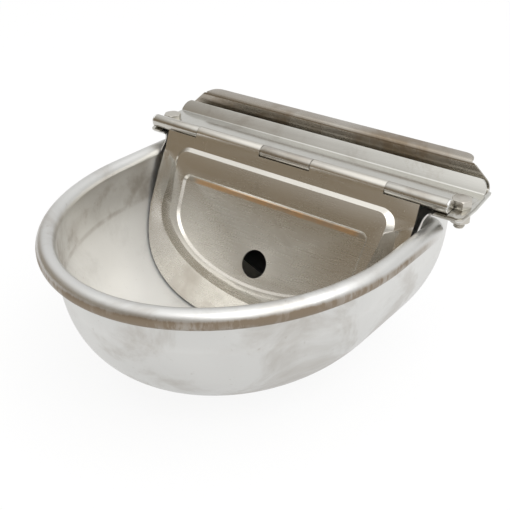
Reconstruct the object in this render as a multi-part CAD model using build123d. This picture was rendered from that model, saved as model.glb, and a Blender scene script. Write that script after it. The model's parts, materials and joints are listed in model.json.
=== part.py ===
from build123d import *
import math
import os

# Livestock drinking bowl: a deep-drawn stainless bowl with a hinged float cover.
# Millimetres. +Z is up, +Y points to the wall that the bowl hangs on, X runs along the hinge.
# The origin lies on the flat base, midway between the sides, where the round front begins.

# ---- Sheet metal ----
bowl_wall = 1.2
cover_sheet = 1.2
plate_sheet = 1.2

# ---- Bowl ----
bowl_half_width = 120.1        # outside of the upright side wall
bowl_front_reach = 146.5       # outside of the front wall, from the origin
bowl_back_reach = 108.2        # outside of the back wall, from the origin
bowl_depth = 100.4             # from the base up to where the wall turns upright
side_round = 2.7               # superellipse exponent of the side and front profile
back_round = 2.4               # the same for the back wall, which sweeps in a little earlier
base_ratio = 0.42              # half-width of the flat base over that of the wall
corner_radius_top = 24.0       # rear corners, seen from above, at the top
corner_radius_base = 34.0      # and at the base
corner_share = 0.9             # most of the back's reach that a corner may take up
wall_stations = 9

# ---- Rolled rim ----
rim_height = 105.4             # centre of the rolled bead above the base
rim_radius = 6.9               # outside radius of the bead
rim_inset = 6.5                # the wall's inner face lies this far inside the bead's centre
rim_wall_lap = 1.2             # the wall runs this far up into the curl
rim_curl_start = 172.0         # where the curl leaves the wall, degrees from the outside
rim_curl_sweep = 314.0         # how far it is rolled, over the top and back underneath
rim_end_y = 53.0               # where the bead starts to turn in to the wall
rim_end_turn = 88.0            # degrees that it turns in before it dies out

# ---- Rear flange of the bowl ----
flange_flare = 7.0             # radius of the turn from the wall out to the flange
flange_turn = 72.0             # degrees turned there; the rest is a soft crease at the flange
flange_margin = 0.4            # bowl's flange past the hinge plate's sides
flange_front_y = 49.9
flange_corner = 5.0
flange_top = 120.7
lift_start_y = 40.0            # the rim starts to rise to the flange at this y
lift_end_y = 53.0
flare_stations = 5

# ---- Hinge ----
hinge_y = 54.9
pin_radius = 4.0
pin_clearance = 0.08
knuckle_gap = 0.7
middle_knuckle_half = 23.0
end_knuckle_start = 86.8
hinge_end_inset = 11.8         # from the hinge plate's side to the end of its knuckles
pin_head_radius = 5.2
pin_head_thickness = 1.3
knuckle_roll = 312.0           # how far each knuckle is rolled, degrees
plate_knuckle_start = 276.0    # where the fixed knuckles leave their flat
cover_knuckle_start = 98.0     # and the moving ones the cover

# ---- Hinge plate, the fixed leaf ----
plate_ear_reach = 25.7         # how far hinge plate and ears stand out past the bowl's side wall
plate_taper = 3.5              # how much narrower each side is at the rear
plate_taper_y = 72.0
left_ear_cut = 11.0            # the left ear's front corner is cut back this much
left_side_cut = 3.5            # and the left side where the taper starts
plate_fold_gap = 13.2          # from the fold back to the outside of the bowl's back wall
plate_fold_radius = 2.0
plate_flange_height = 11.0     # along the slope
plate_flange_lean = 36.0       # degrees back from the vertical
plate_corner = 8.0             # of the raised edge, at each end
plate_notch_gap = 0.7
ear_slit_gap = 0.4             # between the pin's head and the ear beside it

# ---- Wall bracket ----
bracket_lap = 1.4              # the bracket shows this much round the plate above it
bracket_strip_y = 76.0         # front edge of the strip between the ears
bracket_ear_width = 21.0
bracket_rise = 20.0            # upright's height above the shelf
bracket_foot_inset = 6.2       # upright's foot inside the shelf's side
bracket_knee_rise = 6.6        # its ends rise this far, then slant in
bracket_knee_inset = 1.5
bracket_slant_run = 15.0       # how far they slant in
bracket_lip = 11.2             # from the upright's middle to the lip's rear edge
bracket_bend = 3.0
bracket_corner = 10.0          # where the slanted ends meet the top
bracket_knee_radius = 8.0
lip_corner = 10.0              # of the lip, seen from above

# ---- Clamp bolts, M8 ----
right_bolt_reach = 17.1        # from the bowl's side wall out to the right bolt's axis
left_bolt_reach = 11.5         # and to the left one
right_bolt_y = 68.5
left_bolt_y = 71.0
bolt_radius = 4.0
bolt_hole_clearance = 0.5
bolt_length = 16.0
bolt_head_across = 13.0
bolt_head_height = 6.0
nut_height = 6.5
washer_radius = 7.2
washer_thickness = 1.2
nut_fit = 0.05                 # nut and washer bores over the bolt
hex_chamfer = 0.7

# ---- Hinged cover ----
cover_lean = 27.0              # degrees forward from the vertical
cover_half_width = 115.5
cover_bowl_gap = 1.6
cover_core_depth = 60.0        # solid behind the front face, before it is hollowed to a sheet
cover_knuckle_gap = 0.4
band_depth = 18.0              # sloping band below the hinge
band_drop = 2.0                # how far the band slopes back
frame_rise = 3.6               # the frame stands this much in front of the band's foot
frame_top_depth = 17.0
frame_half_width = 99.0
frame_waist = 91.0
frame_waist_depth = 58.0
frame_bottom_depth = 106.0
frame_corner = 9.0
frame_foot_half_width = 104.5  # foot of the step up to the frame
frame_foot_waist = 96.0
frame_foot_top_depth = 13.0
frame_foot_bottom_depth = 107.5
frame_foot_corner = 13.0
panel_drop = 2.0
panel_slope = 2.0
panel_top_depth = 34.0
panel_half_width = 86.5
panel_waist = 84.5
panel_waist_depth = 60.0
panel_bottom_depth = 102.5
panel_corner = 6.0
# The frame slopes down to a valley, and a skirt rises from it to the cover's edge. Each of
# three sections across them gives where the valley lies (half-width, depth), its heading from
# the side (degrees), the widths of slope and skirt, and how far valley and edge lie in front
# of the knuckles' face. A crease runs out from the frame's corner along the first.
crease_section = (103.0, 27.0, -28.0, 6.9, 17.0, -2.0, -2.0)
side_section = (108.0, 62.0, 0.0, 17.0, 14.0, -7.4, 2.5)
toe_section = (0.0, 118.0, 90.0, 12.0, 32.0, -16.0, -14.0)
side_stations = 3
toe_stations = 7
crest_overlap = 5.0            # how far the sections run in under the frame
lift_hole_radius = 11.0
lift_hole_depth = 84.0

# ---- Wall screw holes ----
wall_hole_spacing = 160.0
wall_hole_height = 97.0
wall_hole_radius = 4.5

# ---- Float valve ----
inlet_y = 58.0
inlet_height = 83.5
thread_radius = 10.48          # G 1/2, over its crests
thread_pitch_radius = 9.9      # drawn so where the locknut and the washers sit on it
thread_length = 22.0
thread_clearance = 0.4
waterway_radius = 5.5
pad_radius = 17.0              # flat pressed into the wall for the washers
pad_reach = 6.0
inner_washer_thickness = 2.0
outer_washer_thickness = 1.5
seal_washer_radius = 14.8
locknut_across = 26.0
locknut_height = 7.0
valve_flange_radius = 14.5
valve_flange_thickness = 4.0
barrel_radius = 11.0
plunger_radius = 6.5
plunger_clearance = 0.07
plunger_length = 23.0
plunger_end_gap = 1.0
seat_radius = 8.0
seat_setback = 1.0
seat_thickness = 4.0
orifice_radius = 2.5
seal_radius = 5.2
seal_thickness = 2.5
seal_seat_depth = 1.5          # how deep the seal sits in the plunger
seal_gap = 0.4                 # left between seal and seat with the valve shut
cap_radius = 12.2
cap_length = 6.0
cap_wall = 1.6
outlet_width = 7.0
lug_thickness = 3.0
lug_width = 10.0
lever_thickness = 5.0
lever_clearance = 0.4
lever_drop = 17.0              # pivot below the valve's axis
finger_length = 15.0
finger_tail = 9.0              # finger to the plunger's rear end
finger_radius = 2.5
finger_blade = 3.2
finger_swing = 28.0            # degrees from open to shut
pivot_radius = 2.0
pivot_end = 1.0                # how far the pin stands out of each lug
pivot_clearance = 0.06
lever_boss_radius = 4.5
arm_droop = 22.0               # degrees below the level with the bowl dry
arm_length = 74.0              # pivot to the float's centre
arm_radius = 2.0
arm_tail = 6.0                 # thread left past the float
socket_length = 16.6
arm_grip = 9.0                 # how far the arm is screwed into the socket
float_radius = 18.0
float_length = 50.0
float_round = 9.0
arm_nut_across = 7.0
arm_nut_height = 3.2

# ---- Sizes that follow ----
left_bolt = (-bowl_half_width - left_bolt_reach, left_bolt_y)
right_bolt = (bowl_half_width + right_bolt_reach, right_bolt_y)
bolt_places = (left_bolt, right_bolt)
plate_half_width = bowl_half_width + plate_ear_reach
plate_rear_half_width = plate_half_width - plate_taper
plate_fold_y = bowl_back_reach - plate_fold_gap
hinge_half_length = plate_half_width - hinge_end_inset
bracket_half_width = plate_half_width + bracket_lap
bracket_foot_half_width = bracket_half_width - bracket_foot_inset
bracket_knee_half_width = bracket_foot_half_width - bracket_knee_inset
bracket_top_half_width = bracket_knee_half_width - bracket_slant_run
shelf_top = flange_top + plate_sheet
bracket_upright_y = bowl_back_reach - plate_sheet     # its back is flush with the bowl's
plate_top = shelf_top + plate_sheet
knuckle_bore = pin_radius + pin_clearance
knuckle_radius = knuckle_bore + plate_sheet
hinge_z = shelf_top + knuckle_radius
wall_inner = bowl_half_width - bowl_wall
flare_base = flange_top - flange_flare * math.sin(math.radians(flange_turn))
flare_centre = wall_inner + flange_flare
rim_half_width = wall_inner + rim_inset
rim_front = bowl_front_reach - bowl_wall + rim_inset
ear_start = hinge_half_length + pin_head_thickness + ear_slit_gap
flange_face = -wall_inner + inner_washer_thickness
barrel_start = flange_face + valve_flange_thickness
tail_end = -bowl_half_width - thread_length
locknut_seat = -bowl_half_width - outer_washer_thickness
locknut_face = locknut_seat - locknut_height
seat_start = barrel_start + seat_setback
seat_face = seat_start + seat_thickness
finger_reach = finger_length * math.sin(math.radians(finger_swing / 2))
plunger_travel = 2 * finger_reach
plunger_front = seat_face + seal_gap + plunger_travel + seal_thickness - seal_seat_depth
finger_x = plunger_front + plunger_length - finger_tail
pivot_x = finger_x - finger_reach
pivot_z = inlet_height - lever_drop
finger_slot = 2 * (finger_radius + lever_clearance)
slot_reach = finger_reach + finger_radius + lever_clearance
barrel_end = plunger_front + plunger_length + plunger_end_gap
arm_place = Pos(pivot_x, inlet_y, pivot_z) * Rot(0, arm_droop, 0)
far = 400.0                    # longer than the whole object, for cutting tools


def save(node, shape):
    """Write one sub-part, named for what it is."""
    shape.label = node
    export_step(shape, os.path.join("parts", node + ".step"))


def block(x0, x1, y0, y1, z0, z1):
    """Box between two corners."""
    return Pos((x0 + x1) / 2, (y0 + y1) / 2, (z0 + z1) / 2) * Box(x1 - x0, y1 - y0, z1 - z0)


def rod_x(radius, x0, x1, y, z):
    """Round rod along X."""
    return Pos((x0 + x1) / 2, y, z) * Rot(0, 90, 0) * Cylinder(radius, x1 - x0)


def rod_y(radius, y0, y1, x, z):
    """Round rod along Y."""
    return Pos(x, (y0 + y1) / 2, z) * Rot(90, 0, 0) * Cylinder(radius, y1 - y0)


def rod_z(radius, z0, z1, x, y):
    """Round rod along Z."""
    return Pos(x, y, (z0 + z1) / 2) * Cylinder(radius, z1 - z0)


def hex_prism(across, height, chamfered=True):
    """Hexagon standing on XY, its top corners chamfered as on a bolt head."""
    prism = extrude(RegularPolygon(across / 2, 6, major_radius=False), height)
    corner = across / math.sqrt(3)
    crown = Pos(0, 0, height / 2) * Cylinder(corner, height)
    if chamfered:
        crown = chamfer(crown.edges().group_by(Axis.Z)[-1], hex_chamfer)
    return prism & crown


def rolled_section(outer, wall, start, sweep):
    """Section of a rolled edge: a strip of sheet bent round a circle."""
    inner = outer - wall
    end = start + sweep
    with BuildSketch() as section:
        with BuildLine():
            CenterArc((0, 0), outer, start, sweep)
            CenterArc((0, 0), inner, start, sweep)
            for turn in (start, end):
                unit = Vector(math.cos(math.radians(turn)), math.sin(math.radians(turn)))
                Line(unit * inner, unit * outer)
        make_face()
    return section.sketch.face()


def bent_sheet(points, sheet, bend):
    """Section of a bent sheet whose mid-line runs through points, in the YZ plane."""
    with BuildSketch(Plane.YZ) as section:
        with BuildLine() as line:
            FilletPolyline(*points, radius=bend)
        trace(line.line, sheet)
    return section.sketch


# ---------------------------------------------------------------- bowl

def bowl_plan(half_width, front, back, corner, height):
    """D-shaped section of the bowl: straight sides, round front, rounded rear corners."""
    with BuildSketch(Plane.XY.offset(height)) as plan:
        with BuildLine():
            Line((-half_width + corner, back), (half_width - corner, back))
            JernArc((half_width - corner, back), (1, 0), corner, -90)
            Line((half_width, back - corner), (half_width, 0))
            EllipticalCenterArc((0, 0), half_width, front, start_angle=0, arc_size=-90)
            EllipticalCenterArc((0, 0), half_width, front, start_angle=270, arc_size=-90)
            Line((-half_width, 0), (-half_width, back - corner))
            JernArc((-half_width, back - corner), (0, 1), corner, -90)
        make_face()
    return plan.sketch.face()


def wall_sections(inset):
    """Sections from the wall's turn down to the base, every face moved in by inset."""
    drop_to_base = bowl_depth - inset
    full_depth = drop_to_base / (1 - base_ratio ** side_round) ** (1 / side_round)
    last = math.acos(base_ratio ** (side_round / 2))
    sections = []
    for step in range(wall_stations + 1):
        angle = last * step / wall_stations
        ratio = math.cos(angle) ** (2 / side_round)
        drop = full_depth * math.sin(angle) ** (2 / side_round)
        back_ratio = (1 - (drop / full_depth) ** back_round) ** (1 / back_round)
        back = (bowl_back_reach - inset) * back_ratio
        growth = (corner_radius_base - corner_radius_top) * drop / drop_to_base
        corner = corner_radius_top + growth - inset
        sections.append(bowl_plan((bowl_half_width - inset) * ratio, (bowl_front_reach - inset) * ratio,
                                  back, min(corner, corner_share * back), bowl_depth - drop))
    return sections


def bowl_block(inset, top):
    """Solid of the bowl's shape, moved in by inset, with upright walls up to top."""
    plan = bowl_plan(bowl_half_width - inset, bowl_front_reach - inset, bowl_back_reach - inset,
                     corner_radius_top - inset, bowl_depth)
    return loft(wall_sections(inset)) + extrude(plan, top - bowl_depth)


def flare_block(radius, inset):
    """Solid that turns outward above the side walls, along an arc of the given radius."""
    sections = []
    for step in range(flare_stations + 1):
        turn = math.radians(flange_turn * step / flare_stations)
        half_width = flare_centre - radius * math.cos(turn)
        sections.append(bowl_plan(half_width, bowl_front_reach - inset, bowl_back_reach - inset,
                                  corner_radius_top - inset, flare_base + radius * math.sin(turn)))
    return loft(sections) + extrude(sections[-1], bowl_wall / 2)


def rolled_rim():
    """Bead along the rim, rolled outward; each end turns in and dies into the wall."""
    start = Plane((rim_half_width, rim_end_y, rim_height), x_dir=(1, 0, 0), z_dir=(0, -1, 0))
    section = start * rolled_section(rim_radius, bowl_wall, rim_curl_start, -rim_curl_sweep)
    with BuildLine(Plane.XY.offset(rim_height)) as path:
        Line((rim_half_width, rim_end_y), (rim_half_width, 0))
        EllipticalCenterArc((0, 0), rim_half_width, rim_front, start_angle=0, arc_size=-180)
        Line((-rim_half_width, 0), (-rim_half_width, rim_end_y))
    bead = sweep(section, path.line)
    turn_axis = Axis((rim_half_width - rim_radius - 0.1, rim_end_y, 0), (0, 0, 1))
    end = revolve(section, turn_axis, rim_end_turn)
    return bead + end + mirror(end, Plane.YZ)


def rear_outline(margin, rear_y, corner):
    """Outline, from above, that bowl flange, bracket and hinge plate share; the left ear is cut back."""
    right = plate_half_width + margin
    right_rear = plate_rear_half_width + margin
    front_y = flange_front_y - margin
    with BuildSketch() as outline:
        with BuildLine():
            Polyline((left_ear_cut - right, front_y), (right, front_y), (right, plate_taper_y),
                     (right_rear, rear_y), (-right_rear, rear_y), (left_side_cut - right, plate_taper_y),
                     close=True)
        make_face()
        fillet(outline.vertices().group_by(Axis.Y)[-1], corner)
        fillet(outline.vertices().group_by(Axis.Y)[0], flange_corner)
    return outline.sketch


def rear_flange():
    """Flat flange behind the hinge line, with an ear at each side for its clamp bolt."""
    outline = rear_outline(flange_margin, bowl_back_reach, flange_corner)
    return Pos(0, 0, flange_top - bowl_wall) * extrude(outline, bowl_wall)


def rim_wedge():
    """What is cut away over the front of the bowl, sloping up to the rear flange."""
    wall_end = rim_height + rim_wall_lap
    with BuildSketch(Plane.YZ) as side:
        with BuildLine():
            Polyline((-far, wall_end), (lift_start_y, wall_end), (lift_end_y, flange_top), (lift_end_y, far),
                     (-far, far), close=True)
        make_face()
    wedge = extrude(side.sketch, far, both=True)
    return wedge - block(-far, far, flange_front_y, far, flange_top - bowl_wall, far)


def make_bowl():
    pad_x = -bowl_half_width
    outside = bowl_block(0, flare_base) + flare_block(flange_flare - bowl_wall, 0) + rear_flange()
    outside += rod_x(pad_radius, pad_x, pad_x + pad_reach, inlet_y, inlet_height)
    inside = bowl_block(bowl_wall, flare_base) + flare_block(flange_flare, bowl_wall)
    bowl = outside - inside - rim_wedge() + rolled_rim()
    bowl -= rod_x(pad_radius - bowl_wall, pad_x + bowl_wall, pad_x + 2 * pad_reach, inlet_y, inlet_height)
    bowl -= rod_x(thread_radius + thread_clearance, pad_x - 1, pad_x + pad_reach, inlet_y, inlet_height)
    for x, y in bolt_places:
        bowl -= rod_z(bolt_radius + bolt_hole_clearance, flange_top - 3, flange_top + 3, x, y)
    for side in (-1, 1):
        bowl -= rod_y(wall_hole_radius, bowl_back_reach - 4, bowl_back_reach + 4,
                      side * wall_hole_spacing / 2, wall_hole_height)
    return bowl


# ---------------------------------------------------------------- bracket and hinge plate

def make_bracket():
    """Sheet bracket: shelf under the hinge plate, upright, and a lip that hooks over a rail."""
    shelf_mid = flange_top + plate_sheet / 2
    upright_mid = bracket_upright_y + plate_sheet / 2
    top = flange_top + bracket_rise
    section = bent_sheet([(0, shelf_mid), (upright_mid, shelf_mid), (upright_mid, top - plate_sheet / 2),
                          (upright_mid + bracket_lip, top - plate_sheet / 2)], plate_sheet, bracket_bend)
    sheet = extrude(section, far / 2, both=True)
    shelf = extrude(rear_outline(bracket_lap, bowl_back_reach, plate_corner), far)
    window = block(bracket_ear_width - bracket_half_width, bracket_half_width - bracket_ear_width,
                   0, bracket_strip_y, 0, far)
    shelf_zone = shelf - window - block(-far, far, bracket_upright_y - bracket_bend, far, 0, far)
    with BuildSketch(Plane.XZ) as face:
        with BuildLine():
            Polyline((-bracket_foot_half_width, flange_top), (bracket_foot_half_width, flange_top),
                     (bracket_knee_half_width, flange_top + bracket_knee_rise), (bracket_top_half_width, top),
                     (-bracket_top_half_width, top), (-bracket_knee_half_width, flange_top + bracket_knee_rise),
                     close=True)
        make_face()
        fillet(face.vertices().group_by(Axis.Y)[-1], bracket_corner)
        fillet(face.vertices().group_by(Axis.Y)[1], bracket_knee_radius)
    with BuildSketch() as lip:
        with Locations((0, upright_mid + bracket_lip / 2)):
            Rectangle(2 * bracket_top_half_width, bracket_lip)
        fillet(lip.vertices().group_by(Axis.Y)[-1], lip_corner)
    lip_zone = extrude(lip.sketch, far) + block(-far, far, 0, upright_mid, 0, far)
    lip_zone += block(-far, far, 0, far, 0, top - bracket_bend)
    bracket = sheet & (shelf_zone + (extrude(face.sketch, far, both=True) & lip_zone
                                     & block(-far, far, bracket_upright_y - bracket_bend, far, 0, far)))
    for x, y in bolt_places:
        bracket -= rod_z(bolt_radius + bolt_hole_clearance, flange_top - 1, shelf_top + 1, x, y)
    return bracket


def fixed_knuckle(x0, x1):
    """Knuckle rolled from the hinge plate: it leaves the flat underneath and comes over the top."""
    section = Plane((x0, hinge_y, hinge_z), x_dir=(0, 1, 0), z_dir=(1, 0, 0)) * \
        rolled_section(knuckle_radius, plate_sheet, plate_knuckle_start, -knuckle_roll)
    return extrude(section, x1 - x0)


def make_hinge_plate():
    flat_mid = shelf_top + plate_sheet / 2
    lean = math.radians(plate_flange_lean)
    section = bent_sheet([(0, flat_mid), (plate_fold_y, flat_mid),
                          (plate_fold_y + plate_flange_height * math.sin(lean),
                           flat_mid + plate_flange_height * math.cos(lean))], plate_sheet, plate_fold_radius)
    sheet = extrude(section, plate_half_width, both=True)
    outline = rear_outline(0, plate_fold_y + plate_flange_height, flange_corner)
    flat_zone = extrude(outline, far) & block(-far, far, 0, plate_fold_y - plate_fold_radius, 0, far)
    rise = section.bounding_box().max.Z
    with BuildSketch(Plane.XZ) as face:
        with Locations((0, rise / 2)):
            Rectangle(2 * plate_rear_half_width, rise)
        fillet(face.vertices().group_by(Axis.Y)[-1], plate_corner)
    behind_fold = block(-far, far, plate_fold_y - plate_fold_radius, far, 0, far)
    flange_zone = extrude(face.sketch, far, both=True) & behind_fold
    plate = sheet & (flat_zone + flange_zone)
    notch_end = hinge_y + knuckle_radius + plate_notch_gap
    plate -= block(-far, -hinge_half_length, 0, notch_end, 0, far)
    plate -= block(hinge_half_length, ear_start, 0, notch_end, 0, far)
    plate -= block(-hinge_half_length, hinge_half_length, 0, hinge_y, 0, far)
    for side in (-1, 1):
        inner, outer = sorted((side * (middle_knuckle_half - knuckle_gap / 2), side * end_knuckle_start))
        plate -= block(inner, outer, 0, notch_end, 0, far)
        inner, outer = sorted((side * end_knuckle_start, side * hinge_half_length))
        plate += fixed_knuckle(inner, outer)
    for x, y in bolt_places:
        plate -= rod_z(bolt_radius + bolt_hole_clearance, shelf_top - 1, plate_top + 1, x, y)
    return plate + fixed_knuckle(-middle_knuckle_half + knuckle_gap / 2, middle_knuckle_half - knuckle_gap / 2)


def make_hinge_pin():
    """Plain rod with a flat riveted head at each end."""
    pin = rod_x(pin_radius, -hinge_half_length, hinge_half_length, hinge_y, hinge_z)
    for side in (-1, 1):
        inner, outer = sorted((side * hinge_half_length, side * (hinge_half_length + pin_head_thickness)))
        pin += rod_x(pin_head_radius, inner, outer, hinge_y, hinge_z)
    return pin


# ---------------------------------------------------------------- cover

def cover_outline(top_depth, top_half, waist, waist_depth, bottom_depth, corner, plane):
    """Outline on the cover: straight top, leaning sides and an elliptical lower edge."""
    with BuildSketch(plane) as outline:
        with BuildLine():
            Line((-top_half, -top_depth), (top_half, -top_depth))
            Line((top_half, -top_depth), (waist, -waist_depth))
            EllipticalCenterArc((0, -waist_depth), waist, bottom_depth - waist_depth, start_angle=0,
                                arc_size=-90)
            EllipticalCenterArc((0, -waist_depth), waist, bottom_depth - waist_depth, start_angle=270,
                                arc_size=-90)
            Line((-waist, -waist_depth), (-top_half, -top_depth))
        make_face()
        fillet(outline.vertices().group_by(Axis.Y)[-1], corner)
    return outline.sketch.face()


def skirt_section(half_width, depth, heading, slope, skirt, valley, edge):
    """Solid section across frame, valley and skirt, in a plane square to the cover."""
    outward = Vector(math.cos(math.radians(heading)), -math.sin(math.radians(heading)))
    plane = Plane((half_width, -depth, knuckle_radius), x_dir=outward, z_dir=Vector(outward.Y, -outward.X, 0))
    crest = frame_rise - band_drop
    with BuildSketch(plane) as section:
        with BuildLine():
            Polyline((-slope - crest_overlap, -cover_core_depth), (-slope - crest_overlap, crest),
                     (-slope, crest), (0, valley), (skirt, edge), (skirt, -cover_core_depth), close=True)
        make_face()
    return section.sketch.face()


def skirt_ring():
    """Solid behind the slope, valley and skirt, from one crease round to the other."""
    sections = []
    for step in range(side_stations):
        share = step / side_stations
        sections.append([a + (b - a) * share for a, b in zip(crease_section, side_section)])
    reach = side_section[0]
    fall = toe_section[1] - side_section[1]
    for step in range(toe_stations + 1):
        turn = math.radians(90 * step / toe_stations)
        share = math.sin(turn) ** 2
        heading = math.degrees(math.atan2(reach * math.sin(turn), fall * math.cos(turn)))
        rest = [a + (b - a) * share for a, b in zip(side_section[3:], toe_section[3:])]
        sections.append([reach * math.cos(turn), side_section[1] + fall * math.sin(turn), heading] + rest)
    right = [skirt_section(*values) for values in sections]
    half = loft(right)
    return half + mirror(half, Plane.YZ)


def cover_front():
    """Solid behind the cover's pressed front face. Local axes: X along the hinge, +Y up, +Z front."""
    tangent = knuckle_radius
    base = tangent - band_drop
    crest = base + frame_rise
    heading = math.radians(crease_section[2])
    inner_x = crease_section[0] - crease_section[3] * math.cos(heading)
    inner_depth = crease_section[1] - crease_section[3] * math.sin(heading)
    outer_x = crease_section[0] + crease_section[4] * math.cos(heading)
    outer_depth = crease_section[1] + crease_section[4] * math.sin(heading)
    with BuildSketch(Plane.YZ) as side:
        with BuildLine():
            Polyline((0, tangent), (-band_depth, base), (-far / 2, base), (-far / 2, base - cover_core_depth),
                     (0, base - cover_core_depth), close=True)
        make_face()
    with BuildSketch(Plane.XY) as band:
        with BuildLine():
            Polyline((-outer_x, 0), (outer_x, 0), (outer_x, -outer_depth), (inner_x, -inner_depth),
                     (-inner_x, -inner_depth), (-outer_x, -outer_depth), close=True)
        make_face()
    front = extrude(side.sketch, far / 2, both=True) & extrude(band.sketch, far, both=True)
    frame = cover_outline(frame_top_depth, frame_half_width, frame_waist, frame_waist_depth,
                          frame_bottom_depth, frame_corner, Plane.XY.offset(crest))
    frame_foot = cover_outline(frame_foot_top_depth, frame_foot_half_width, frame_foot_waist, frame_waist_depth,
                               frame_foot_bottom_depth, frame_foot_corner, Plane.XY.offset(base))
    panel_top = cover_outline(panel_top_depth, panel_half_width, panel_waist, panel_waist_depth,
                              panel_bottom_depth, panel_corner, Plane.XY.offset(crest))
    panel_low = cover_outline(panel_top_depth + panel_slope, panel_half_width - panel_slope,
                              panel_waist - panel_slope, panel_waist_depth, panel_bottom_depth - panel_slope,
                              panel_corner - panel_slope, Plane.XY.offset(crest - panel_drop))
    front += skirt_ring()
    front += loft([frame_foot, frame])
    front += extrude(frame_foot, -cover_core_depth)
    front -= loft([panel_low, panel_top])
    return front


def make_cover():
    front = cover_front()
    cover = front - Pos(0, 0, -cover_sheet) * front
    cover -= Pos(0, -lift_hole_depth, 0) * Cylinder(lift_hole_radius, far)
    cover &= block(-cover_half_width, cover_half_width, -far, 0, -far, far)
    fall = math.atan2(band_drop, band_depth)
    sheet_inner = (knuckle_radius - cover_sheet) * math.cos(fall)
    reach = math.sqrt((knuckle_radius + cover_knuckle_gap) ** 2 - sheet_inner ** 2)
    clear = reach * math.cos(fall) + sheet_inner * math.sin(fall)
    half_gap = knuckle_gap / 2
    cover -= block(-middle_knuckle_half - half_gap, middle_knuckle_half + half_gap, -clear, 1, -far, far)
    for side in (-1, 1):
        inner, outer = sorted((side * (end_knuckle_start - half_gap), side * far))
        cover -= block(inner, outer, -clear, 1, -far, far)
        inner, outer = sorted((side * (middle_knuckle_half + half_gap), side * (end_knuckle_start - half_gap)))
        section = Plane((inner, 0, 0), x_dir=(0, 1, 0), z_dir=(1, 0, 0)) * \
            rolled_section(knuckle_radius, cover_sheet, cover_knuckle_start, -knuckle_roll)
        cover += extrude(section, outer - inner)
    placed = Pos(0, hinge_y, hinge_z) * Rot(90 - cover_lean, 0, 0) * cover
    room = bowl_block(bowl_wall + cover_bowl_gap, far)
    return placed & room


# ---------------------------------------------------------------- clamp bolts

def at_bolts(piece):
    """The same piece at both ears."""
    left, right = [Pos(x, y, 0) * piece for x, y in bolt_places]
    return left + right


def make_clamp_bolts():
    head = Pos(0, 0, plate_top) * hex_prism(bolt_head_across, bolt_head_height)
    shank = rod_z(bolt_radius, plate_top - bolt_length, plate_top + 1, 0, 0)
    shank = chamfer(shank.edges().group_by(Axis.Z)[0], hex_chamfer)
    return at_bolts(head + shank)


def make_clamp_washers():
    under = flange_top - bowl_wall
    disc = rod_z(washer_radius, under - washer_thickness, under, 0, 0)
    return at_bolts(disc - rod_z(bolt_radius + nut_fit, under - far, under + 1, 0, 0))


def make_clamp_nuts():
    top = flange_top - bowl_wall - washer_thickness
    nut = Pos(0, 0, top) * Rot(180, 0, 0) * hex_prism(bolt_head_across, nut_height)
    return at_bolts(nut - rod_z(bolt_radius + nut_fit, top - far, top + 1, 0, 0))


# ---------------------------------------------------------------- float valve

def valve_rod(radius, x0, x1):
    """Round rod on the valve's axis."""
    return rod_x(radius, x0, x1, inlet_y, inlet_height)


def make_valve_body():
    """Tail with the pipe thread, flange inside the wall, barrel, and two lugs for the lever's pivot."""
    body = valve_rod(thread_radius, tail_end, locknut_face)
    body = chamfer(body.edges().group_by(Axis.X)[0], hex_chamfer)
    body += valve_rod(thread_pitch_radius, locknut_face, flange_face)
    body += valve_rod(valve_flange_radius, flange_face, barrel_start)
    body += valve_rod(barrel_radius, barrel_start, barrel_end)
    slot_half = lever_thickness / 2 + lever_clearance
    for side in (-1, 1):
        inner, outer = sorted((side * slot_half, side * (slot_half + lug_thickness)))
        lug = block(pivot_x - lug_width / 2, pivot_x + lug_width / 2, inlet_y + inner, inlet_y + outer,
                    pivot_z, inlet_height - barrel_radius / 2)
        body += lug + rod_y(lug_width / 2, inlet_y + inner, inlet_y + outer, pivot_x, pivot_z)
    body -= valve_rod(waterway_radius, tail_end - 1, seat_start + 1)
    body -= valve_rod(seat_radius, seat_start, seat_face)
    body -= valve_rod(plunger_radius + plunger_clearance, seat_face, barrel_end + 1)
    body -= rod_y(pivot_radius, inlet_y - far, inlet_y + far, pivot_x, pivot_z)
    body -= block(pivot_x - slot_reach, pivot_x + slot_reach, inlet_y - slot_half, inlet_y + slot_half,
                  inlet_height - barrel_radius - 1, inlet_height)
    body -= block(seat_face, seat_face + outlet_width, inlet_y - outlet_width / 2,
                  inlet_y + outlet_width / 2, inlet_height - barrel_radius - 1, inlet_height)
    return body


def make_valve_seat():
    seat = valve_rod(seat_radius, seat_start, seat_face)
    return seat - valve_rod(orifice_radius, seat_start - 1, seat_face + 1)


def seal_washer(x0, x1):
    return valve_rod(seal_washer_radius, x0, x1) - valve_rod(thread_pitch_radius, x0 - 1, x1 + 1)


def make_locknut():
    nut = Pos(locknut_seat, inlet_y, inlet_height) * Rot(0, -90, 0) * hex_prism(locknut_across, locknut_height)
    return nut - valve_rod(thread_pitch_radius, locknut_seat - far, locknut_seat + 1)


def make_valve_cap():
    """Cap pushed over the barrel's end; a small hole lets the water behind the plunger out."""
    cap = valve_rod(cap_radius, barrel_end - cap_length + cap_wall, barrel_end + cap_wall)
    cap = chamfer(cap.edges().group_by(Axis.X)[-1], hex_chamfer)
    cap -= valve_rod(barrel_radius, barrel_end - cap_length, barrel_end)
    return cap - valve_rod(pivot_radius, barrel_end - 1, barrel_end + far)


def make_plunger():
    plunger = valve_rod(plunger_radius, plunger_front, plunger_front + plunger_length)
    plunger -= valve_rod(seal_radius, plunger_front - 1, plunger_front + seal_seat_depth)
    slot = block(finger_x - finger_slot / 2, finger_x + finger_slot / 2, inlet_y - far, inlet_y + far,
                 inlet_height - plunger_radius - 1, inlet_height + finger_radius)
    return plunger - slot


def make_plunger_seal():
    return valve_rod(seal_radius, plunger_front + seal_seat_depth - seal_thickness,
                     plunger_front + seal_seat_depth)


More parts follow.
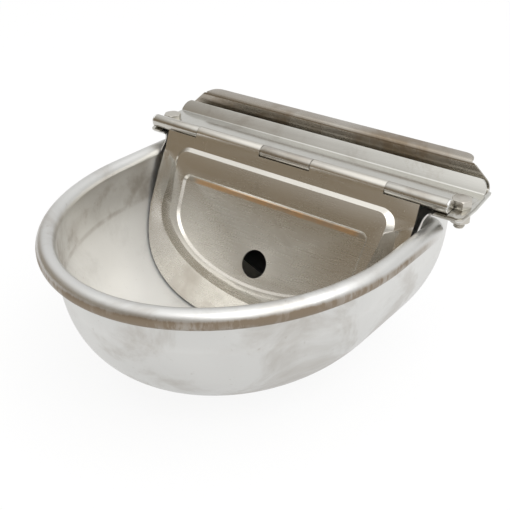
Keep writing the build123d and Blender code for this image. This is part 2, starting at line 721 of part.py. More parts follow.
def make_pivot_pin():
    reach = lever_thickness / 2 + lever_clearance + lug_thickness + pivot_end
    return rod_y(pivot_radius, inlet_y - reach, inlet_y + reach, pivot_x, pivot_z)


def make_float_lever():
    """Boss on the pivot, a finger up into the plunger and a socket for the float's arm."""
    side = lever_thickness / 2
    lean = math.radians(finger_swing / 2)
    tip_x = pivot_x + finger_length * math.sin(lean)
    tip_z = pivot_z + finger_length * math.cos(lean)
    lever = rod_y(lever_boss_radius, inlet_y - side, inlet_y + side, pivot_x, pivot_z)
    lever += rod_y(finger_radius, inlet_y - side, inlet_y + side, tip_x, tip_z)
    finger = block(-finger_blade / 2, finger_blade / 2, -side, side, 0, finger_length)
    lever += Pos(pivot_x, inlet_y, pivot_z) * Rot(0, finger_swing / 2, 0) * finger
    lever += arm_place * rod_x(side, 0, socket_length, 0, 0)
    lever -= arm_place * rod_x(arm_radius, socket_length - arm_grip, socket_length + 1, 0, 0)
    return lever - rod_y(pivot_radius + pivot_clearance, inlet_y - far, inlet_y + far, pivot_x, pivot_z)


def make_float_arm():
    arm_end = arm_length + float_length / 2 + arm_tail
    return arm_place * rod_x(arm_radius, socket_length - arm_grip, arm_end, 0, 0)


def make_arm_nuts():
    """Jam nut against the lever's socket and one at each end of the float."""
    nut = hex_prism(arm_nut_across, arm_nut_height) - Cylinder(arm_radius, far)
    along = Rot(0, 90, 0) * nut
    ends = (socket_length, arm_length - float_length / 2 - arm_nut_height, arm_length + float_length / 2)
    nuts = [arm_place * Pos(start, 0, 0) * along for start in ends]
    return nuts[0] + nuts[1] + nuts[2]


def make_float():
    body = rod_x(float_radius, arm_length - float_length / 2, arm_length + float_length / 2, 0, 0)
    body = fillet(body.edges().filter_by(GeomType.CIRCLE), float_round)
    return arm_place * (body - rod_x(arm_radius, 0, far, 0, 0))


os.makedirs("parts", exist_ok=True)
save("bowl_shell", make_bowl())
save("wall_bracket", make_bracket())
save("hinge_plate", make_hinge_plate())
save("hinge_pin", make_hinge_pin())
save("clamp_bolts", make_clamp_bolts())
save("clamp_washers", make_clamp_washers())
save("clamp_nuts", make_clamp_nuts())
save("float_cover", make_cover())
save("valve_body", make_valve_body())
save("valve_seat", make_valve_seat())
save("inner_seal_washer", seal_washer(-wall_inner, flange_face))
save("outer_seal_washer", seal_washer(locknut_seat, -bowl_half_width))
save("valve_locknut", make_locknut())
save("valve_cap", make_valve_cap())
save("plunger", make_plunger())
save("plunger_seal", make_plunger_seal())
save("lever_pivot_pin", make_pivot_pin())
save("float_lever", make_float_lever())
save("float_arm", make_float_arm())
save("arm_nuts", make_arm_nuts())
save("float", make_float())
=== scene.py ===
import json
import math
import bpy
from bpy.props import FloatProperty, FloatVectorProperty, PointerProperty
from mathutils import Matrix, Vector


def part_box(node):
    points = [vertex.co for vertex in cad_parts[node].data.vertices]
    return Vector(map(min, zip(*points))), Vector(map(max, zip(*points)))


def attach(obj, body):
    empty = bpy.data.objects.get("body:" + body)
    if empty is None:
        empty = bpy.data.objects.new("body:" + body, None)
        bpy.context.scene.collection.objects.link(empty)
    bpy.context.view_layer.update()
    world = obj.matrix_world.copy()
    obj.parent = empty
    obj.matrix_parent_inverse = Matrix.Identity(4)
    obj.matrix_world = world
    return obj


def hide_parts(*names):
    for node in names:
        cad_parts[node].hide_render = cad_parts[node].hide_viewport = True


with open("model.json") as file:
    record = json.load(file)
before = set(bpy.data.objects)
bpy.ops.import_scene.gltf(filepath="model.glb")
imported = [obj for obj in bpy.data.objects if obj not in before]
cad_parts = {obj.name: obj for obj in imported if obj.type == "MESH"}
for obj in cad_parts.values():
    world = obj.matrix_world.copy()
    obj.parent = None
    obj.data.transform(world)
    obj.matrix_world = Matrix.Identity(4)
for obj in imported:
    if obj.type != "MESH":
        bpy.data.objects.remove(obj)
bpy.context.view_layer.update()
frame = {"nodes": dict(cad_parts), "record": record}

bl_info = {
    "name": "Livestock Drinking Bowl",
    "version": (1, 0, 0),
    "blender": (4, 5, 0),
    "location": "View3D > Sidebar > Drinking Bowl",
    "description": "Finishes a pressed steel drinking bowl with a hinged float cover and its float valve",
    "category": "Object",
}

RECORD = frame["record"]
BODY_OF = {node: body for body, nodes in RECORD["behaviour"]["bodies"].items() for node in nodes}
SLOT_OF = {row["node"]: row["material_slot"] for row in RECORD["subparts"]}

# Lengths and places are in metres, from the middle of the bowl's base.
COVER_TO_WALL = 0.0034                   # from the cover's side to the wall beside it
RIM_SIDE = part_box("float_cover")[1][0] + COVER_TO_WALL     # inner face of the wall, at the side
RIM_FRONT = 0.1453                       # and at the front
RIM_TOP = 0.106                          # the drawn face inside the bowl ends below this height
RIM_BAND = (0.0980, 0.1066)              # heights of the brown band round the outside of the rim, with scuffs in it
WATER_MARK = (0.0735, 0.0745)            # heights of the mark that the water leaves
SMUDGES = (0.078, 0.098)                 # heights of the smudges over it
PAINTED_LIGHT_FADE = (0.058, 0.090)                  # the painted light inside the bowl fades out between these heights
KNUCKLE_BACK = 0.0595                    # the hinge's knuckles end at this distance towards the wall
MIDDLE_KNUCKLE = 0.020                   # half-length of the middle knuckle's extra brown, from rubbing and painted shade
UPRIGHT = 0.1055                         # the bracket's upright starts at this distance towards the wall
COVER_TOP = (0.085, 0.105)               # the brown painted over the cover as painted reflection fades out between these heights
STEP_BROWN = (0.0955, 0.0980)             # heights of the brown on the cover's upper step, part of the painted orange highlight
STEP_ORANGE_HIGHLIGHT = (0.0952, 0.0975)            # heights of the painted orange highlight on it

# Turns are in degrees.
FLAT_TURN = 0.3                          # faces that turn less are one face
PRESSED_TURN = 9.0                       # edges that turn more are rounded, on pressed sheet
CUT_TURN = 40.0                          # and on cut or turned pieces
SMOOTH_TURN = 32.0                       # edges that turn less are shaded smooth
MERGE = 0.00001                          # corners of the solid's mesh that are one point
SLIVER = 0.0000002                       # and those that the rounding leaves on one point
ROUNDING_STEPS = 3

BOLT_CORNER = 0.007506                   # from a bolt's axis to the corners of its head
BOLT_FLAT = 0.0065                       # and to the flats
THREAD_STEPS = 40                        # faces round one turn of a thread
THREAD_START = 0.6                       # pitches from a thread's end to the middle of its first turn
THREAD_FOOT = 0.44                       # half-width of the ridge's foot, in pitches
THREAD_SINK = 0.00005                    # how deep the ridge is set into its rod

FLOOR_SIZE = 40.0
FLOOR_HEIGHT = -0.0004
DIM_SIDE = (-0.58, -0.81, 0.0)           # towards the dim side of the room
LAMP_PLACE = (0.8, -0.15, 1.15)
LAMP_SIZE = 1.4
CAMERA_PLACE = (0.3550, -0.4521, 0.3933)
CAMERA_TURN = (60.5, 0.0, 37.31)
WHITE = (1.0, 1.0, 1.0, 1.0)


# ---------------------------------------------------------------- settings

def colour_property(name, description, default):
    return FloatVectorProperty(name=name, description=description, default=default, size=3,
                               min=0.0, max=1.0, subtype="COLOR")


def share_property(name, description, default):
    return FloatProperty(name=name, description=description, default=default, min=0.0, max=1.0,
                         subtype="FACTOR")


def strength_property(name, description, default, unit="NONE"):
    return FloatProperty(name=name, description=description, default=default, min=0.0, unit=unit)


def length_property(name, description, default):
    return FloatProperty(name=name, description=description, default=default, min=0.0,
                         subtype="DISTANCE", unit="LENGTH")


class DrinkBowlSteel(bpy.types.PropertyGroup):
    """Colours and wear of the pressed sheets, and the painted shade and painted light on them"""
    bowl: colour_property("Bowl", "Clean colour of the bowl's sheet", (0.69, 0.688, 0.67))
    # Painted light: this paler colour, with less metal, brightens the drawn face inside the bowl, most low
    # down
    painted_light: colour_property("Satin", "Paler colour of the drawn face inside the bowl", (0.86, 0.86, 0.845))
    plate: colour_property("Plate", "Clean colour of hinge plate and bracket", (0.60, 0.592, 0.555))
    cover: colour_property("Cover", "Clean colour of the float cover", (0.68, 0.655, 0.60))
    pin: colour_property("Pin", "Clean colour of the hinge pin", (0.78, 0.775, 0.76))
    bolts: colour_property("Bolts", "Clean colour of bolts, nuts and washers", (0.55, 0.525, 0.475))
    # Also the brown of the painted shade and painted reflection on the knuckles, upright and cover
    stain: colour_property("Stain", "Brown that water leaves on the steel", (0.26, 0.208, 0.152))
    # Painted highlight: orange painted along the cover's upper step, where its rounded edge catches the
    # light
    orange_highlight: colour_property("Baked", "Orange that is left along a folded step", (0.78, 0.46, 0.20))
    # Scales the stains and the painted shade and painted reflection together
    dirt_and_shade: share_property("Dirt", "How much stain lies on the sheets", 0.45)
    bowl_polish: share_property("Bowl roughness", "Roughness of the bowl where it is clean", 0.36)
    cover_polish: share_property("Cover roughness", "Roughness of the cover where it is clean", 0.25)
    flat_polish: share_property("Sheet roughness", "Roughness of flat sheets where they are clean", 0.19)


class DrinkBowlValve(bpy.types.PropertyGroup):
    """Colours of the valve and the float"""
    brass: colour_property("Brass", "Cast and turned brass", (0.76, 0.60, 0.34))
    seat: colour_property("Seat", "Moulded seat", (0.87, 0.87, 0.84))
    rubber: colour_property("Rubber", "Seals and washers", (0.028, 0.028, 0.03))
    shell: colour_property("Float", "Blown float", (0.030, 0.030, 0.032))
    pitch: length_property("Thread pitch", "Pitch of the inlet's pipe thread", 0.001814)


class DrinkBowlEdges(bpy.types.PropertyGroup):
    """How far pressed folds and cut edges are rounded"""
    press: length_property("Pressed fold", "Width of the rounding at a pressed fold", 0.0011)
    cut: length_property("Cut edge", "Width of the rounding at a cut or turned edge", 0.0003)


class DrinkBowlStudio(bpy.types.PropertyGroup):
    """Floor, light and camera"""
    floor: colour_property("Floor", "Colour of the floor", (0.95, 0.95, 0.95))
    sky: strength_property("Sky", "Strength of the light from all round", 0.85)
    overhead: strength_property("Overhead", "Extra strength of the light from above", 0.5)
    shade: colour_property("Shade", "Colour of the dim side of the room", (0.33, 0.268, 0.19))
    lamp: strength_property("Lamp", "Power of the soft lamp overhead", 8.0, "POWER")
    lens: FloatProperty(name="Lens", description="Focal length in millimetres", default=62.26, min=1.0)


# ---------------------------------------------------------------- shader maths

class Wire:
    """A shader socket. Arithmetic on it adds Math nodes."""

    def __init__(self, shader, socket):
        self.shader = shader
        self.socket = socket

    def maths(self, operation, first, second=0.0, clamp=False):
        return self.shader.node("ShaderNodeMath", {"operation": operation, "use_clamp": clamp},
                                {0: first, 1: second})

    def __add__(self, other):
        return self.maths("ADD", self, other)

    def __sub__(self, other):
        return self.maths("SUBTRACT", self, other)

    def __rsub__(self, other):
        return self.maths("SUBTRACT", other, self)

    def __mul__(self, other):
        return self.maths("MULTIPLY", self, other)

    def __truediv__(self, other):
        return self.maths("DIVIDE", self, other)

    __radd__ = __add__
    __rmul__ = __mul__

    def clamped(self):
        return self.maths("ADD", self, 0.0, clamp=True)

    def size(self):
        return self.maths("ABSOLUTE", self)

    def at_most(self, limit):
        return self.maths("MINIMUM", self, limit)

    def above(self, low, high):
        """0 below low, 1 above high, smooth between."""
        return self.shader.node("ShaderNodeMapRange", {"interpolation_type": "SMOOTHSTEP"},
                                {"Value": self, "From Min": low, "From Max": high})

    def below(self, low, high):
        """1 below low, 0 above high, smooth between."""
        return 1.0 - self.above(low, high)

    def within(self, low, high, soft):
        """1 between low and high, 0 outside, over a soft edge."""
        return self.above(low - soft, low) * self.below(high, high + soft)


class Shader:
    """The node tree of one material, or of the world."""

    def __init__(self, owner, place="Object"):
        self.owner = owner
        owner.use_nodes = True
        self.tree = owner.node_tree
        self.tree.nodes.clear()
        self.place = self.node("ShaderNodeTexCoord", {}, {}, place)

    def node(self, kind, settings, sockets, output=0):
        """Adds a node: its settings first, then the values or links of its sockets."""
        made = self.tree.nodes.new(kind)
        for key, value in settings.items():
            setattr(made, key, value)
        for key, value in sockets.items():
            if isinstance(value, Wire):
                self.tree.links.new(value.socket, made.inputs[key])
            else:
                made.inputs[key].default_value = value
        return Wire(self, made.outputs[output])

    def stretched(self, scale, turn=(0.0, 0.0, 0.0)):
        """Object coordinates, turned and scaled."""
        return self.node("ShaderNodeMapping", {}, {"Vector": self.place, "Rotation": turn, "Scale": scale})

    def noise(self, scale, detail=2.0, roughness=0.5, where=None, warp=0.0):
        return self.node("ShaderNodeTexNoise", {}, {"Vector": where or self.place, "Scale": scale,
                                                    "Detail": detail, "Roughness": roughness,
                                                    "Distortion": warp})

    def axes(self):
        """X, Y and Z of the place, in metres."""
        return [self.node("ShaderNodeSeparateXYZ", {}, {0: self.place}, name) for name in "XYZ"]

    def tint(self, factor, first, second):
        """First colour where factor is 0, second where it is 1."""
        return self.node("ShaderNodeMix", {"data_type": "RGBA"}, {0: factor, 6: first, 7: second}, 2)

    def bump(self, height, distance, strength=1.0, over=None):
        sockets = {"Height": height, "Distance": distance, "Strength": strength}
        if over:
            sockets["Normal"] = over
        return self.node("ShaderNodeBump", {}, sockets)

    def finish(self, sockets, surface="ShaderNodeBsdfPrincipled", output="ShaderNodeOutputMaterial"):
        """The surface shader and the output."""
        made = self.node(surface, {}, sockets)
        out = self.tree.nodes.new(output)
        self.tree.links.new(made.socket, out.inputs["Surface"])
        return self.owner


def new_shader(name):
    return Shader(bpy.data.materials.new(name))


def rgba(colour, level=1.0):
    return (*(min(1.0, level * part) for part in colour), 1.0)


# ---------------------------------------------------------------- finishes

def scratches(s, scale, turn, low, high):
    """Thin marks that run one way."""
    marks = s.noise(1.0, 2.0, 0.6, s.stretched(scale, turn), 0.4)
    patches = s.noise(22.0, 2.0, 0.5)
    return marks.above(low, high) * patches.above(0.45, 0.62)


def sheet_steel(name, colour, polish, steel, grain, spots, more_stain_and_shade=None, painted_light=None, orange_highlight=None):
    """Rolled stainless sheet: fine grain, wavy flats, scratches and the stains that water leaves.

    The three optional masks add more stain together with painted shade and painted reflection in the
    stain's brown, painted light as a paler, less metallic face, and a painted orange highlight.
    """
    s = new_shader(name)
    fine = s.noise(1.0, 3.0, 0.6, s.stretched(grain))
    cloud = s.noise(9.0, 2.0)
    stains = s.noise(spots, 5.0, 0.62, None, 0.6)
    freckles = s.noise(230.0, 3.0, 0.6)
    marks = scratches(s, (1500.0, 1500.0, 35.0), (0.3, 0.5, 0.2), 0.68, 0.74) \
        + scratches(s, (25.0, 1300.0, 1300.0), (0.1, 0.35, -0.4), 0.70, 0.76)
    dirt_and_shade = stains.above(0.5, 0.68) * (0.45 + 0.4 * cloud) + freckles.above(0.66, 0.74) * 0.35
    # More stain, and painted shade and painted reflection in the same brown
    if more_stain_and_shade:
        dirt_and_shade = dirt_and_shade + more_stain_and_shade(s)
    dirt_and_shade = (dirt_and_shade * steel.dirt_and_shade).clamped()
    clean = s.tint(cloud.above(0.3, 0.7), rgba(colour), rgba(colour, 0.9))
    stained_and_shaded = s.tint(dirt_and_shade, clean, rgba(steel.stain))
    shade = s.tint((marks * 0.3).clamped(), stained_and_shaded, rgba(colour, 1.15))
    rough = polish + (fine - 0.5) * 0.10 + (cloud - 0.5) * 0.10 + dirt_and_shade * 0.14 + marks * 0.1
    waves = s.bump(cloud, 0.003, 0.3)
    skin = s.bump(fine - marks * 0.4, 0.00003, 0.5, waves)
    metal = 1.0
    # Painted orange highlight along the cover's upper step
    if orange_highlight:
        shade = s.tint(orange_highlight(s) * 0.7, shade, rgba(steel.orange_highlight))
    # Painted light: a paler, less metallic colour on the face inside the bowl
    if painted_light:
        painted_light_share = painted_light(s)
        metal = 1.0 - painted_light_share * 0.35
        shade = s.tint(painted_light_share * (1.0 - dirt_and_shade), shade, rgba(steel.painted_light))
    return s.finish({"Base Color": shade, "Metallic": metal, "Roughness": rough, "Normal": skin})


def reach(s):
    """Square of the distance out from the bowl's middle: 1 on the wall's inner face at the top."""
    x, y = s.axes()[:2]
    front = y.at_most(0.0) / RIM_FRONT
    side = x / RIM_SIDE
    return front * front + side * side


def rim_band_and_marks(s):
    """Brown band round the outside of the rolled rim at the front, with scuffs in it, and the water's mark
    and smudges inside.
    """
    y, z = s.axes()[1:]
    scuff = s.noise(1.0, 3.0, 0.6, s.stretched((300.0, 300.0, 60.0)))
    broad = s.noise(22.0, 3.0, 0.55)
    band = z.within(*RIM_BAND, 0.0030) * y.below(0.0, 0.06) * reach(s).above(1.02, 1.06)
    ring = z.within(*WATER_MARK, 0.0028) * s.noise(40.0, 4.0, 0.6).above(0.35, 0.6)
    smudge = z.within(*SMUDGES, 0.006) * s.noise(34.0, 4.0, 0.6).above(0.44, 0.64)
    front_band = band * (1.25 + broad.above(0.38, 0.6) * 0.7 + scuff.above(0.45, 0.62) * 0.45)
    return front_band * 1.15 + (ring * 0.8 + smudge * 1.1) * inside_bowl(s)


def inside_bowl(s):
    """1 on the drawn face inside the bowl, below the rolled rim."""
    height = s.axes()[2]
    normal = s.node("ShaderNodeNewGeometry", {}, {}, "Normal")
    upward = s.node("ShaderNodeSeparateXYZ", {}, {0: normal}, "Z")
    return reach(s).below(0.995, 1.01) * height.below(RIM_TOP - 0.006, RIM_TOP) * upward.above(-0.14, -0.04)


def painted_light_inside(s):
    """Painted light: 1 on the lower part of the drawn face inside the bowl, less towards the rim, where a
    paler colour stands in for light.
    """
    return inside_bowl(s) * (1.0 - s.axes()[2].above(*PAINTED_LIGHT_FADE) * 0.75)


def orange_highlight_step(s):
    """Painted orange highlight along the foot of the cover's upper step."""
    x, _, z = s.axes()
    patches = s.noise(30.0, 3.0, 0.6).above(0.25, 0.6)
    return z.within(*STEP_ORANGE_HIGHLIGHT, 0.0014) * x.size().below(0.072, 0.080) * patches


def knuckle_rub_and_shade(s):
    """Brown over all the knuckles as painted shade, more on the middle one where it also rubs, and brown
    over the upright and the lip behind as painted shade.
    """
    x, y = s.axes()[:2]
    rub = s.noise(55.0, 3.0, 0.6).above(0.35, 0.65)
    uneven = s.noise(11.0, 4.0, 0.6).above(0.3, 0.65)
    middle = x.size().below(MIDDLE_KNUCKLE, MIDDLE_KNUCKLE + 0.006)
    # Painted shade on all the knuckles, with rubbing on the middle one
    knuckles = y.below(KNUCKLE_BACK, KNUCKLE_BACK + 0.0025) * (0.45 + middle * (0.3 + rub * 0.4))
    # Painted shade: brown over the upright and its lip, standing in for their dark reflection
    return knuckles + y.above(UPRIGHT, UPRIGHT + 0.001) * (0.9 + uneven * 0.8)


def cover_painted_reflection(s):
    """Painted reflection: brown over all the cover in uneven patches, less towards its top, and brown along
    its upper step with the painted orange highlight.
    """
    x, _, z = s.axes()
    uneven = s.noise(7.0, 3.0, 0.5)
    # Brown along the upper step, part of the painted orange highlight
    step = z.within(*STEP_BROWN, 0.0016) * x.size().below(0.078, 0.088)
    # Painted reflection of the dim side of the room, in brown, fading towards the top
    return (0.30 + uneven * 0.35) * (1.0 - z.above(*COVER_TOP) * 0.8) + step * (0.3 + uneven)


def brass(name, valve):
    """Cast brass, tarnished in patches."""
    s = new_shader(name)
    grain = s.noise(900.0, 3.0, 0.6)
    tarnish = s.noise(70.0, 5.0, 0.6).above(0.45, 0.7)
    colour = s.tint(tarnish, rgba(valve.brass), rgba(valve.brass, 0.62))
    skin = s.bump(grain, 0.00015, 0.4)
    rough = 0.27 + tarnish * 0.2
    return s.finish({"Base Color": colour, "Metallic": 1.0, "Roughness": rough, "Normal": skin})


def moulded(name, colour, roughness, seam=None):
    """Moulded plastic or rubber with a fine skin, faint stains and the mould's seam."""
    s = new_shader(name)
    grain = s.noise(1400.0, 2.0, 0.5)
    stain = s.noise(45.0, 4.0, 0.6).above(0.5, 0.8)
    tone = s.tint(stain * 0.35, rgba(colour), rgba(colour, 0.72))
    skin = s.bump(grain, 0.00008, 0.35)
    if seam:
        ridge = (s.axes()[1] - seam).size().below(0.0002, 0.0007)
        skin = s.bump(ridge, 0.0003, 0.8, skin)
    return s.finish({"Base Color": tone, "Roughness": roughness + stain * 0.15, "Normal": skin})


def middle_of(node, axis):
    low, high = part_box(node)
    return (low[axis] + high[axis]) / 2


def make_finishes(scene):
    """Every finish by its slot in the record."""
    steel = scene.drinkbowl_steel
    valve = scene.drinkbowl_valve
    drawn = (1300.0, 1300.0, 45.0)
    along = (40.0, 1400.0, 1400.0)
    turned = (300.0, 300.0, 300.0)
    return {
        "bowl_steel": sheet_steel("bowl_sheet", steel.bowl, steel.bowl_polish, steel, drawn, 16.0,
                                  more_stain_and_shade=rim_band_and_marks, painted_light=painted_light_inside),
        "plate_steel": sheet_steel("plate_sheet", steel.plate, steel.flat_polish, steel, along, 20.0,
                                   more_stain_and_shade=knuckle_rub_and_shade),
        "cover_steel": sheet_steel("cover_sheet", steel.cover, steel.cover_polish, steel, along, 13.0,
                                   more_stain_and_shade=cover_painted_reflection, orange_highlight=orange_highlight_step),
        "pin_steel": sheet_steel("pin_rod", steel.pin, steel.flat_polish, steel, along, 60.0),
        "bolt_steel": sheet_steel("bolt_stock", steel.bolts, steel.bowl_polish, steel, turned, 60.0),
        "valve_brass": brass("valve_brass", valve),
        "seat_plastic": moulded("seat_plastic", valve.seat, 0.4),
        "washer_rubber": moulded("washer_rubber", valve.rubber, 0.65),
        "float_plastic": moulded("float_shell", valve.shell, 0.35, middle_of("float", 1)),
    }


# ---------------------------------------------------------------- pieces

def only(context, obj):
    """Selects one object, or none, and nothing else."""
    bpy.ops.object.select_all(action="DESELECT")
    if obj:
        obj.select_set(True)
        context.view_layer.objects.active = obj


class Thread:
    """A screw thread: where it ends, which way it runs on from there, and its sizes."""

    NEAR = 0.0001           # the plain rod's ends and its outside are taken within this distance

    def __init__(self, end, aim, crest, root, pitch, turns, length):
        self.end = Vector(end)
        self.aim = Vector(aim)
        self.crest = crest
        self.root = root
        self.pitch = pitch
        self.turns = turns
        self.length = length

    def narrow(self, piece):
        """Brings the plain rod that stands for the thread down to its root."""
        for vertex in piece.data.vertices:
            along = (vertex.co - self.end).dot(self.aim)
            centre = self.end + along * self.aim
            out = vertex.co - centre
            on_rod = self.root < out.length < self.crest + self.NEAR
            if on_rod and -self.NEAR < along < self.length + MERGE:
                vertex.co = centre + out.normalized() * self.root

    def ridge(self, context):
        """The thread's ridge, turned round the rod."""
        only(context, None)
        bpy.ops.mesh.primitive_circle_add(vertices=3, radius=self.root)
        ridge = context.object
        foot = self.root - THREAD_SINK
        corners = ((foot, -THREAD_FOOT), (self.crest, 0.0), (foot, THREAD_FOOT))
        for vertex, (out, rise) in zip(ridge.data.vertices, corners):
            vertex.co = (out, 0.0, (rise + THREAD_START) * self.pitch)
        screw = ridge.modifiers.new("turns", "SCREW")
        screw.screw_offset = self.pitch
        screw.iterations = self.turns
        screw.steps = THREAD_STEPS
        screw.render_steps = THREAD_STEPS
        bpy.ops.object.modifier_apply(modifier=screw.name)
        bpy.ops.object.mode_set(mode="EDIT")
        bpy.ops.mesh.select_mode(type="EDGE")
        bpy.ops.mesh.select_all(action="DESELECT")
        bpy.ops.mesh.select_non_manifold()
        bpy.ops.mesh.fill_holes(sides=0)
        bpy.ops.mesh.select_all(action="SELECT")
        bpy.ops.mesh.normals_make_consistent(inside=False)
        bpy.ops.object.mode_set(mode="OBJECT")
        ridge.location = self.end
        ridge.rotation_euler = self.aim.to_track_quat("Z", "Y").to_euler()
        bpy.ops.object.transform_apply(location=True, rotation=True, scale=True)
        return ridge


def rounded(context, node, width, fold, threads=()):
    """Copy of a piece, in its place, with each edge rounded that turns by more than fold, in degrees."""
    source = frame["nodes"][node]
    piece = bpy.data.objects.new(node + "_dressed", source.data.copy())
    context.scene.collection.objects.link(piece)
    only(context, piece)
    bpy.ops.object.mode_set(mode="EDIT")
    bpy.ops.mesh.select_all(action="SELECT")
    bpy.ops.mesh.remove_doubles(threshold=MERGE)
    bpy.ops.mesh.dissolve_limited(angle_limit=math.radians(FLAT_TURN))
    bpy.ops.object.mode_set(mode="OBJECT")
    for thread in threads:
        thread.narrow(piece)
    bevel = piece.modifiers.new("rounding", "BEVEL")
    bevel.width = width
    bevel.segments = ROUNDING_STEPS
    bevel.limit_method = "ANGLE"
    bevel.angle_limit = math.radians(fold)
    bpy.ops.object.modifier_apply(modifier=bevel.name)
    bpy.ops.object.mode_set(mode="EDIT")
    bpy.ops.mesh.select_all(action="SELECT")
    bpy.ops.mesh.remove_doubles(threshold=SLIVER)
    bpy.ops.object.mode_set(mode="OBJECT")
    ridges = [thread.ridge(context) for thread in threads]
    only(context, piece)
    for ridge in ridges:
        ridge.select_set(True)
    if ridges:
        bpy.ops.object.join()
    bpy.ops.object.shade_smooth_by_angle(angle=math.radians(SMOOTH_TURN))
    piece.data.materials.clear()
    piece.data.materials.append(source.data.materials[0])
    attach(piece, BODY_OF[node])
    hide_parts(node)


class DRINKBOWL_OT_finishes(bpy.types.Operator):
    """Gives every piece its finish"""
    bl_idname = "drinkbowl.finishes"
    bl_label = "Finishes"

    def execute(self, context):
        finishes = make_finishes(context.scene)
        for node, slot in SLOT_OF.items():
            data = frame["nodes"][node].data
            data.materials.clear()
            data.materials.append(finishes[slot])
        return {"FINISHED"}


class DRINKBOWL_OT_cover(bpy.types.Operator):
    """Rounds the pressed folds of the float cover"""
    bl_idname = "drinkbowl.cover"
    bl_label = "Float Cover"

    def execute(self, context):
        rounded(context, "float_cover", context.scene.drinkbowl_edges.press, PRESSED_TURN)
        return {"FINISHED"}


class DRINKBOWL_OT_plates(bpy.types.Operator):
    """Rounds the edges of hinge plate and bracket"""
    bl_idname = "drinkbowl.plates"
    bl_label = "Hinge Plate and Bracket"

    def execute(self, context):
        for node in ("hinge_plate", "wall_bracket"):
            rounded(context, node, context.scene.drinkbowl_edges.cut, CUT_TURN)
        return {"FINISHED"}


class DRINKBOWL_OT_fasteners(bpy.types.Operator):
    """Rounds the edges of pin, bolts, washers and nuts"""
    bl_idname = "drinkbowl.fasteners"
    bl_label = "Fasteners"

    def execute(self, context):
        width = context.scene.drinkbowl_edges.cut
        for node in ("hinge_pin", "clamp_washers", "clamp_nuts", "arm_nuts"):
            rounded(context, node, width, CUT_TURN)
        low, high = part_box("clamp_bolts")
        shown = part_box("clamp_nuts")[0][2] - low[2]
        ends = ((low[0] + BOLT_CORNER, high[1] - BOLT_FLAT, low[2]),
                (high[0] - BOLT_CORNER, low[1] + BOLT_FLAT, low[2]))
        threads = [Thread(end, aim=(0.0, 0.0, 1.0), crest=0.0040, root=0.0034, pitch=0.00125,
                          turns=3, length=shown) for end in ends]
        rounded(context, "clamp_bolts", width, CUT_TURN, threads)
        return {"FINISHED"}


class DRINKBOWL_OT_valve(bpy.types.Operator):
    """Rounds the valve's edges and cuts the pipe thread on its tail"""
    bl_idname = "drinkbowl.valve"
    bl_label = "Float Valve"

    def execute(self, context):
        width = context.scene.drinkbowl_edges.cut
        for node in ("valve_locknut", "valve_cap", "float_lever"):
            rounded(context, node, width, CUT_TURN)
        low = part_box("valve_body")[0]
        tail = (low[0], middle_of("valve_locknut", 1), middle_of("valve_locknut", 2))
        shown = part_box("valve_locknut")[0][0] - low[0]
        pitch = context.scene.drinkbowl_valve.pitch
        thread = Thread(tail, aim=(1.0, 0.0, 0.0), crest=0.01048, root=0.0094, pitch=pitch,
                        turns=int(shown / pitch - 0.9), length=shown)
        rounded(context, "valve_body", width, CUT_TURN, [thread])
        return {"FINISHED"}


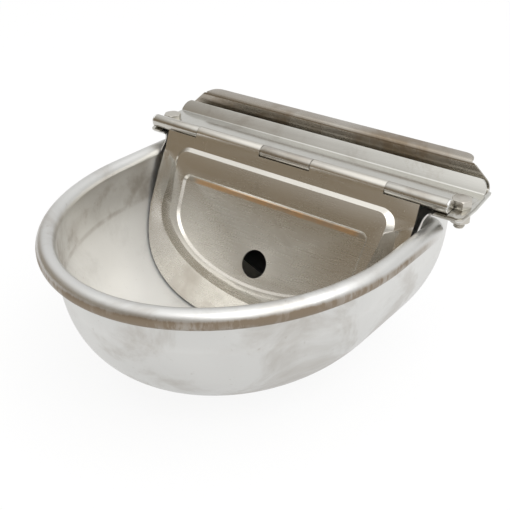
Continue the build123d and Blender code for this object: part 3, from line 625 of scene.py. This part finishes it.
class DRINKBOWL_OT_stage(bpy.types.Operator):
    """Pale floor, soft light and the camera"""
    bl_idname = "drinkbowl.stage"
    bl_label = "Stage"

    def execute(self, context):
        studio = context.scene.drinkbowl_studio
        self.floor(context, studio)
        self.room(context, studio)
        self.lamp(context, studio)
        self.camera(context, studio)
        context.scene.view_settings.view_transform = "Standard"
        return {"FINISHED"}

    def floor(self, context, studio):
        """White floor, brighter where the camera sees it."""
        only(context, None)
        bpy.ops.mesh.primitive_plane_add(size=FLOOR_SIZE, location=(0.0, 0.0, FLOOR_HEIGHT))
        floor = context.object
        floor.name = "floor"
        s = new_shader("floor_white")
        path = [s.node("ShaderNodeLightPath", {}, {}, name) for name in
                ("Is Camera Ray", "Is Glossy Ray", "Is Transmission Ray")]
        seen = (path[0] * 0.88 + path[1] * 0.7 + path[2] * 0.7).clamped()
        matt = s.node("ShaderNodeBsdfDiffuse", {}, {"Color": rgba(studio.floor)})
        glow = s.node("ShaderNodeEmission", {}, {"Color": WHITE, "Strength": 1.0})
        floor.data.materials.append(s.finish({0: seen, 1: matt, 2: glow}, "ShaderNodeMixShader"))

    def room(self, context, studio):
        """White all round, dimmer and warmer low on the front left."""
        s = Shader(bpy.data.worlds.new("studio"), "Generated")
        side = s.node("ShaderNodeVectorMath", {"operation": "DOT_PRODUCT"},
                      {0: s.place, 1: DIM_SIDE}, "Value")
        height = s.axes()[2]
        seen = s.node("ShaderNodeLightPath", {}, {}, "Is Camera Ray")
        dim = side.above(0.10, 0.55) * height.below(0.30, 0.85) * (1.0 - seen)
        colour = s.tint(dim, WHITE, rgba(studio.shade))
        around = studio.sky + height.above(0.60, 0.90) * studio.overhead
        strength = seen + around * (1.0 - seen)
        context.scene.world = s.finish({"Color": colour, "Strength": strength},
                                       "ShaderNodeBackground", "ShaderNodeOutputWorld")

    def lamp(self, context, studio):
        data = bpy.data.lights.new("overhead", "AREA")
        data.size = LAMP_SIZE
        data.energy = studio.lamp
        lamp = bpy.data.objects.new("overhead", data)
        lamp.location = LAMP_PLACE
        lamp.rotation_euler = (-lamp.location).to_track_quat("-Z", "Y").to_euler()
        context.scene.collection.objects.link(lamp)

    def camera(self, context, studio):
        data = bpy.data.cameras.new("camera")
        data.sensor_width = 36.0
        data.lens = studio.lens
        camera = bpy.data.objects.new("camera", data)
        camera.location = CAMERA_PLACE
        camera.rotation_euler = [math.radians(turn) for turn in CAMERA_TURN]
        context.scene.collection.objects.link(camera)
        context.scene.camera = camera


class DRINKBOWL_PT_panel(bpy.types.Panel):
    """Lists the drinking bowl's pieces and settings"""
    bl_idname = "DRINKBOWL_PT_panel"
    bl_label = "Drinking Bowl"
    bl_space_type = "VIEW_3D"
    bl_region_type = "UI"
    bl_category = "Drinking Bowl"

    def draw(self, context):
        for operator in OPERATORS:
            self.layout.operator(operator.bl_idname)
        for name in GROUPS:
            box = self.layout.box()
            group = getattr(context.scene, name)
            for key in group.bl_rna.properties.keys():
                if key not in ("rna_type", "name"):
                    box.prop(group, key)


GROUPS = {
    "drinkbowl_steel": DrinkBowlSteel,
    "drinkbowl_valve": DrinkBowlValve,
    "drinkbowl_edges": DrinkBowlEdges,
    "drinkbowl_studio": DrinkBowlStudio,
}
OPERATORS = (DRINKBOWL_OT_finishes, DRINKBOWL_OT_cover, DRINKBOWL_OT_plates, DRINKBOWL_OT_fasteners,
             DRINKBOWL_OT_valve, DRINKBOWL_OT_stage)
CLASSES = (*GROUPS.values(), *OPERATORS, DRINKBOWL_PT_panel)


def register():
    for entry in CLASSES:
        bpy.utils.register_class(entry)
    for name, group in GROUPS.items():
        setattr(bpy.types.Scene, name, PointerProperty(type=group))


def unregister():
    for name in GROUPS:
        delattr(bpy.types.Scene, name)
    for entry in reversed(CLASSES):
        bpy.utils.unregister_class(entry)


def main():
    register()
    bpy.ops.drinkbowl.finishes()
    bpy.ops.drinkbowl.cover()
    bpy.ops.drinkbowl.plates()
    bpy.ops.drinkbowl.fasteners()
    bpy.ops.drinkbowl.valve()
    bpy.ops.drinkbowl.stage()


if __name__ == "__main__":
    main()
